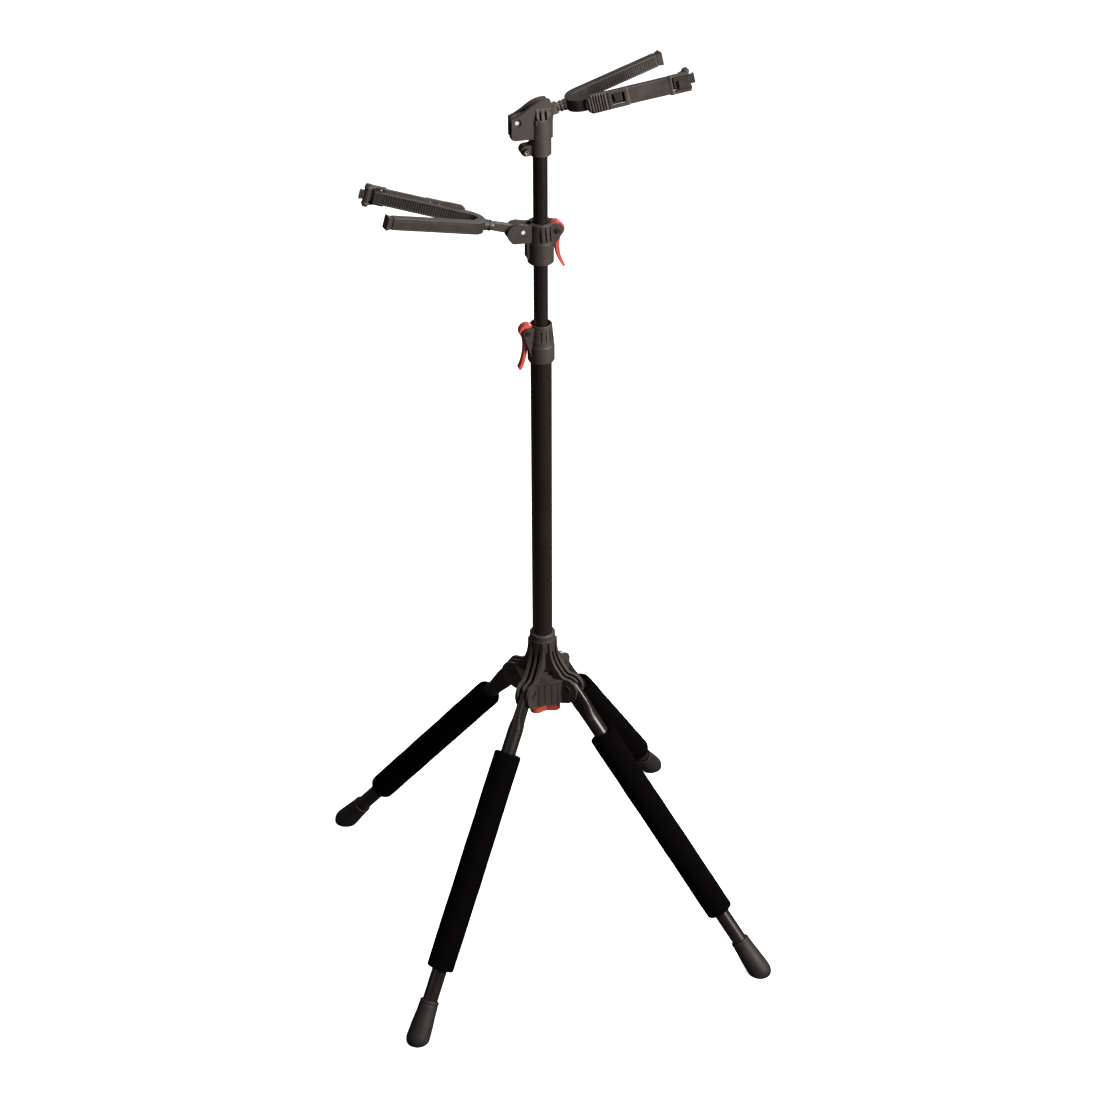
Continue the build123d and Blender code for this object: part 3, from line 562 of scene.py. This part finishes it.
# ------------------------------------------------------------------ rubber boots
# (distance down from the top lip, radius), both in millimetres
BOOT_OUTLINE = np.array([
    (0.0, 13.0), (0.5, 13.55), (1.2, 13.9), (3.0, 14.0), (4.2, 13.95), (4.9, 13.55),
    (5.6, 13.5), (6.3, 13.9), (7.5, 14.0), (12, 14.15), (18, 14.55), (26, 15.2),
    (36, 15.9), (46, 16.5), (52, 16.85), (56, 16.9), (59, 16.65), (61, 16.2),
    (63.5, 15.3), (66, 14.0), (68, 12.3), (69.6, 10.5), (70.8, 8.0), (71.6, 5.5),
    (71.95, 2.6), (72.0, 0.0)]) / 1000.0
BOOT_LIP = np.linspace(0, 8, 17) / 1000.0
BOOT_STATIONS = np.concatenate(
    [BOOT_LIP, np.linspace(8.8, 60, 44) / 1000.0, np.linspace(60.6, 72, 36) / 1000.0])
BOOT_SEGMENTS = 72
BOOT_ROWS = 46
BOOT_BORE_DEPTH = 0.043
BOOT_BORE_LEAST = 0.01112
SOLE_RINGS = (1.0, 0.975, 0.93, 0.86, 0.78, 0.70, 0.62, 0.54, 0.46, 0.38, 0.30, 0.22,
              0.14, 0.07)
SOLE_PLAIN = 0.90           # rings beyond this share of the rim have no grooves
GROOVE_PITCH, GROOVE_DEPTH = 0.0062, 0.0009


def boot_radius(station):
    return np.interp(station, BOOT_OUTLINE[:, 0], BOOT_OUTLINE[:, 1])


def boot_wall(pivot, axes, start, floor):
    """Wall vertices row by row down to the floor, and the sole's rim, in leg axes."""
    columns, rim = [], []
    for cosine, sine in turns(BOOT_SEGMENTS):
        z = (pivot[2] + (start + BOOT_STATIONS) * axes[2, 0]
             + boot_radius(BOOT_STATIONS) * cosine * axes[2, 1])
        below = np.where(z < floor)[0]
        i = max(below[0], 1) if len(below) else len(BOOT_STATIONS) - 1
        share = (z[i - 1] - floor) / max(z[i - 1] - z[i], 1e-9)
        end = BOOT_STATIONS[i - 1] + share * (BOOT_STATIONS[i] - BOOT_STATIONS[i - 1])
        # the first rows keep the lip's own spacing, and the rest are shared out to the sole
        rest = np.linspace(BOOT_LIP[-1], end - 0.0009, BOOT_ROWS - len(BOOT_LIP) + 1)[1:]
        wall = [(station, boot_radius(station)) for station in (*BOOT_LIP, *rest)]
        # a small radius round the sole
        wall.append((end - 0.0003, boot_radius(end - 0.0003) - 0.00012))
        columns.append([(start + station, radius * cosine, radius * sine)
                        for station, radius in wall])
        radius = boot_radius(end) - 0.0007
        rim.append((start + end, radius * cosine, radius * sine))
    return [point for row in zip(*columns) for point in row], np.array(rim)


def boot_sole(rim, centre, out, floor):
    """Flat rings shrinking to the middle, with shallow cross grooves pressed up into them."""
    sole = []
    for share in SOLE_RINGS:
        ring = centre + (rim - centre) * share
        ring[:, 2] = floor
        if share < SOLE_PLAIN:
            wave = 0.5 + 0.5 * np.cos(2 * math.pi * ((ring - centre) @ out) / GROOVE_PITCH)
            fade = min(1.0, (SOLE_PLAIN - share) / 0.06)
            ring[:, 2] = floor + GROOVE_DEPTH * np.clip((wave - 0.55) / 0.25, 0, 1) * fade
        sole.append(ring)
    return sole


def boot(leg):
    pivot, axes = leg_frame(leg)
    cad = cad_points("leg_boot_" + leg)
    local = (cad - pivot) @ axes
    start, floor = local[:, 0].min(), cad[:, 2].min()
    top = local[:, 0] < start + 0.0004
    bore = max(radii(local)[top].min(), BOOT_BORE_LEAST)
    # (depth, radius) from the bore's floor up to the lip
    bore_outline = [(BOOT_BORE_DEPTH, bore * 0.5), (BOOT_BORE_DEPTH, bore), (0.030, bore),
                    (0.015, bore), (0.0012, bore), (0.0002, bore + 0.0005)]
    inside = rings([(start + depth, radius) for depth, radius in bore_outline], BOOT_SEGMENTS)
    wall, rim = boot_wall(pivot, axes, start, floor)
    rim = pivot + rim @ axes.T
    rim[:, 2] = floor
    centre = rim.mean(0)
    out = np.array([axes[0, 0], axes[1, 0], 0.0])
    out /= np.linalg.norm(out)
    verts = np.concatenate([pivot + np.array(inside + wall) @ axes.T,
                            *boot_sole(rim, centre, out, floor)])
    # fans close the bore's floor and the middle of the sole
    bore_middle = len(verts)
    last_ring = bore_middle - BOOT_SEGMENTS
    faces = ring_faces(bore_middle // BOOT_SEGMENTS, BOOT_SEGMENTS, closed=False)
    for i in range(BOOT_SEGMENTS):
        k = (i + 1) % BOOT_SEGMENTS
        faces.append((bore_middle, k, i))
        faces.append((bore_middle + 1, last_ring + i, last_ring + k))
    bore_floor = pivot + np.array([start + BOOT_BORE_DEPTH, 0.0, 0.0]) @ axes.T
    verts = np.concatenate([verts, [bore_floor, centre]])
    obj = new_object("boot_" + leg, verts, faces, MATERIALS["boot_rubber"])
    points = get_points(obj)
    uneven = noise_at(points, scale=90.0, seed=4.0 + len(leg)) * 0.00016
    free = points[:, 2] > floor + 0.002
    free &= radii((points - pivot) @ axes) > bore + 0.0012
    set_points(obj, displaced(obj, points, uneven * free))
    register(obj, "leg_" + leg, "leg_boot_" + leg)


# ------------------------------------------------------------------ yoke jackets and straps
# each arm starts on a circle of this radius, centred one radius along the swivel axis,
# this far round from square to the axis
YOKE_RADIUS, YOKE_ANGLE = 0.016, math.radians(12.2)
RIB_PITCH, RIB_DEPTH = 0.0031, 0.00085
LINE_INSET, LINE_WIDTH, LINE_DEPTH = 0.0026, 0.0004, 0.00035


def yoke_frame(hanger):
    """Origin, axes as columns, and one arm's root, direction and length in their plane."""
    swivel, swing = JOINTS[hanger + "_yoke_swivel"], JOINTS[hanger + "_strap_swing"]
    origin = np.array(swivel["pos_m"], float)
    forward = np.array(swivel["axis"], float)
    across = np.array(swing["axis"], float)
    axes = np.stack([forward, np.cross(across, forward), across], 1)
    pin = (np.array(swing["pos_m"], float) - origin) @ axes
    root = np.array([YOKE_RADIUS - YOKE_RADIUS * math.sin(YOKE_ANGLE),
                     YOKE_RADIUS * math.cos(YOKE_ANGLE)])
    arm = np.array([pin[0], abs(pin[1])]) - root
    length = float(np.linalg.norm(arm))
    return origin, axes, root, arm / length, length


def remeshed(node, name, material, voxel, smoothing):
    """An even, softened copy of a CAD piece."""
    obj = bpy.data.objects.new(name, NODES[node].data.copy())
    scene.collection.objects.link(obj)
    remesh = obj.modifiers.new("voxels", "REMESH")
    remesh.mode = "VOXEL"
    remesh.voxel_size = voxel
    remesh.adaptivity = 0.0
    remesh.use_smooth_shade = True
    soften = obj.modifiers.new("soften", "SMOOTH")
    soften.factor, soften.iterations = 0.5, smoothing
    bake_modifiers(obj)
    mesh = obj.data
    mesh.materials.clear()
    mesh.materials.append(material)
    mesh.polygons.foreach_set("use_smooth", [True] * len(mesh.polygons))
    for key in [attribute.name for attribute in mesh.attributes]:
        if key.startswith(("custom_normal", "UVMap", "Col")):
            mesh.attributes.remove(mesh.attributes[key])
    return obj


def ridges(t, sharp):
    """Rounded ridges of period 1, height 0 to 1."""
    wave = 0.5 + 0.5 * np.cos(2 * math.pi * t)
    return np.clip((wave - 0.5 + sharp) / (2 * sharp), 0, 1)


def smooth_step(t, low, high):
    t = np.clip((t - low) / (high - low), 0, 1)
    return t * t * (3 - 2 * t)


def yoke_jacket(hanger, seed):
    origin, axes, root, arm, length = yoke_frame(hanger)
    obj = remeshed(hanger + "_yoke_cover", hanger + "_yoke_jacket", MATERIALS["yoke_rubber"],
                   voxel=0.0006, smoothing=3)
    points = get_points(obj)
    local = (points - origin) @ axes
    facing = get_normals(obj) @ axes
    sign = np.where(local[:, 1] < 0, -1.0, 1.0)
    offset = np.stack([local[:, 0] - root[0], np.abs(local[:, 1]) - root[1]], 1)
    along = offset @ arm
    side = offset @ np.array([-arm[1], arm[0]])         # + is the outer side of the arm
    outward = (facing[:, 1] * sign) * arm[0] - facing[:, 0] * arm[1]
    height = np.abs(local[:, 2])
    half_height = height.max()
    # fine grip ribs across the inner faces
    inner = smooth_step(-outward, 0.55, 0.9) * smooth_step(along, 0.010, 0.020)
    inner *= smooth_step(length - 0.014 - along, 0.0, 0.006)
    inner *= smooth_step(half_height - 0.0011 - height, 0.0, 0.0012) * (side < 0)
    push = -RIB_DEPTH * (1 - ridges(along / RIB_PITCH, sharp=0.30)) * inner
    # a shallow moulded line near both edges of the outer faces
    outer = smooth_step(outward, 0.6, 0.9) * (side > 0) * smooth_step(along, 0.004, 0.007)
    outer *= smooth_step(length - 0.012 - along, 0.0, 0.002)
    from_line = half_height - LINE_INSET - height
    push += -LINE_DEPTH * outer * np.exp(-(from_line / LINE_WIDTH) ** 2)
    # the soft moulding is never quite even
    push += noise_at(points, scale=60.0, seed=seed) * 0.00016
    set_points(obj, displaced(obj, points, push))
    register(obj, hanger + "_yoke", hanger + "_yoke_cover")


def neck_strap(hanger, seed):
    obj = remeshed(hanger + "_strap", hanger + "_security_strap", MATERIALS["strap_rubber"],
                   voxel=0.00055, smoothing=2)
    points = get_points(obj)
    uneven = noise_at(points, scale=70.0, seed=seed) * 0.00012
    set_points(obj, displaced(obj, points, uneven))
    register(obj, hanger + "_strap", hanger + "_strap")


for index, leg_name in enumerate(LEGS):
    foam_sleeve(leg_name, seed=1.3 + 2.9 * index)
    boot(leg_name)
for hanger_name, jacket_seed, strap_seed in (("upper", 5.0, 11.0), ("lower", 8.0, 14.0)):
    yoke_jacket(hanger_name, jacket_seed)
    neck_strap(hanger_name, strap_seed)


# ------------------------------------------------------------------ floor and world
FLOOR_HALF = 14.0
FLOOR_GAP = 0.0003


def shader(tree, kind, **inputs):
    node = tree.nodes.new(kind)
    for key, value in inputs.items():
        node.inputs[key].default_value = value
    return node


def camera_switch(owner, output_kind):
    """Clears the tree; returns it and a mix: input 1 lights the scene, 2 is what is seen."""
    owner.use_nodes = True
    tree = owner.node_tree
    tree.nodes.clear()
    output = shader(tree, output_kind)
    path = shader(tree, "ShaderNodeLightPath")
    mix = shader(tree, "ShaderNodeMixShader")
    tree.links.new(path.outputs["Is Camera Ray"], mix.inputs[0])
    tree.links.new(mix.outputs[0], output.inputs[0])
    return tree, mix


def floor_material():
    """Glowing near-white to the camera, dark to everything else."""
    material = bpy.data.materials.new("studio_floor")
    tree, mix = camera_switch(material, "ShaderNodeOutputMaterial")
    seen = shader(tree, "ShaderNodeAddShader")
    pale = shader(tree, "ShaderNodeBsdfDiffuse", Color=(0.90, 0.90, 0.90, 1))
    glow = shader(tree, "ShaderNodeEmission", Color=(1, 1, 1, 1), Strength=0.84)
    dark = shader(tree, "ShaderNodeBsdfDiffuse", Color=(0.07, 0.066, 0.063, 1))
    tree.links.new(pale.outputs[0], seen.inputs[0])
    tree.links.new(glow.outputs[0], seen.inputs[1])
    tree.links.new(dark.outputs[0], mix.inputs[1])
    tree.links.new(seen.outputs[0], mix.inputs[2])
    return material


def add_floor():
    bpy.context.view_layer.update()
    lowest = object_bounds()[0][2]
    corners = [(x * FLOOR_HALF, y * FLOOR_HALF, 0)
               for x, y in ((-1, -1), (1, -1), (1, 1), (-1, 1))]
    floor = new_object("floor", corners, [(0, 1, 2, 3)], floor_material(), smooth=False)
    floor.location.z = lowest - FLOOR_GAP


def add_world():
    world = bpy.data.worlds.new("studio")
    scene.world = world
    tree, mix = camera_switch(world, "ShaderNodeOutputWorld")
    dim = shader(tree, "ShaderNodeBackground", Color=(1.0, 0.985, 0.97, 1), Strength=0.10)
    white = shader(tree, "ShaderNodeBackground", Color=(1, 1, 1, 1), Strength=1.05)
    tree.links.new(dim.outputs[0], mix.inputs[1])
    tree.links.new(white.outputs[0], mix.inputs[2])


# ------------------------------------------------------------------ lights and camera
# the camera's own forward and right directions over the floor, turned from +Y towards +X
AZIMUTH = math.radians(15.5)
FORWARD = Vector((math.sin(AZIMUTH), math.cos(AZIMUTH), 0))
RIGHT = Vector((math.cos(AZIMUTH), -math.sin(AZIMUTH), 0))
UP = Vector((0, 0, 1))
LIGHT_TARGET = Vector((0.0, 0.0, 0.62))
CAMERA_PLACE = Vector((-0.7194, -2.594, 2.293))
CAMERA_PITCH, CAMERA_ROLL = math.radians(32.18), math.radians(-0.278)


def area(name, right, forward, height, size, power, color):
    """A rectangular light aimed at the target, placed in the camera's directions."""
    light = bpy.data.lights.new(name, "AREA")
    light.shape, light.size, light.size_y = "RECTANGLE", size[0], size[1]
    light.energy, light.color = power, color
    obj = bpy.data.objects.new(name, light)
    place = RIGHT * right + FORWARD * forward + UP * height
    obj.location = place
    obj.rotation_euler = (LIGHT_TARGET - place).to_track_quat("-Z", "Y").to_euler()
    scene.collection.objects.link(obj)


def add_camera():
    data = bpy.data.cameras.new("camera")
    obj = bpy.data.objects.new("camera", data)
    scene.collection.objects.link(obj)
    data.sensor_width = 36.0
    data.lens = 73.8
    data.shift_x, data.shift_y = 0.0112, 0.0080
    data.clip_start, data.clip_end = 0.05, 100.0
    look = FORWARD * math.cos(CAMERA_PITCH) - UP * math.sin(CAMERA_PITCH)
    level_up = FORWARD * math.sin(CAMERA_PITCH) + UP * math.cos(CAMERA_PITCH)
    right = RIGHT * math.cos(CAMERA_ROLL) + level_up * math.sin(CAMERA_ROLL)
    up = level_up * math.cos(CAMERA_ROLL) - RIGHT * math.sin(CAMERA_ROLL)
    turn = Matrix((right, up, -look)).transposed().to_4x4()
    obj.matrix_world = Matrix.Translation(CAMERA_PLACE) @ turn
    scene.camera = obj


add_floor()
add_world()
area("key", right=2.5, forward=-1.5, height=2.3, size=(0.9, 1.8), power=300,
     color=(1.0, 0.92, 0.85))
area("fill", right=-2.6, forward=-1.6, height=1.9, size=(1.4, 1.8), power=8,
     color=(0.98, 0.98, 1.0))
area("top", right=0, forward=0.3, height=3.6, size=(1.6, 1.6), power=46, color=(1, 0.97, 0.95))
area("rim", right=1.2, forward=2.6, height=2.0, size=(1.2, 1.8), power=34, color=(1, 0.99, 0.97))
add_camera()
scene.view_settings.view_transform = "Standard"
scene.view_settings.look = "None"

bpy.context.view_layer.update()
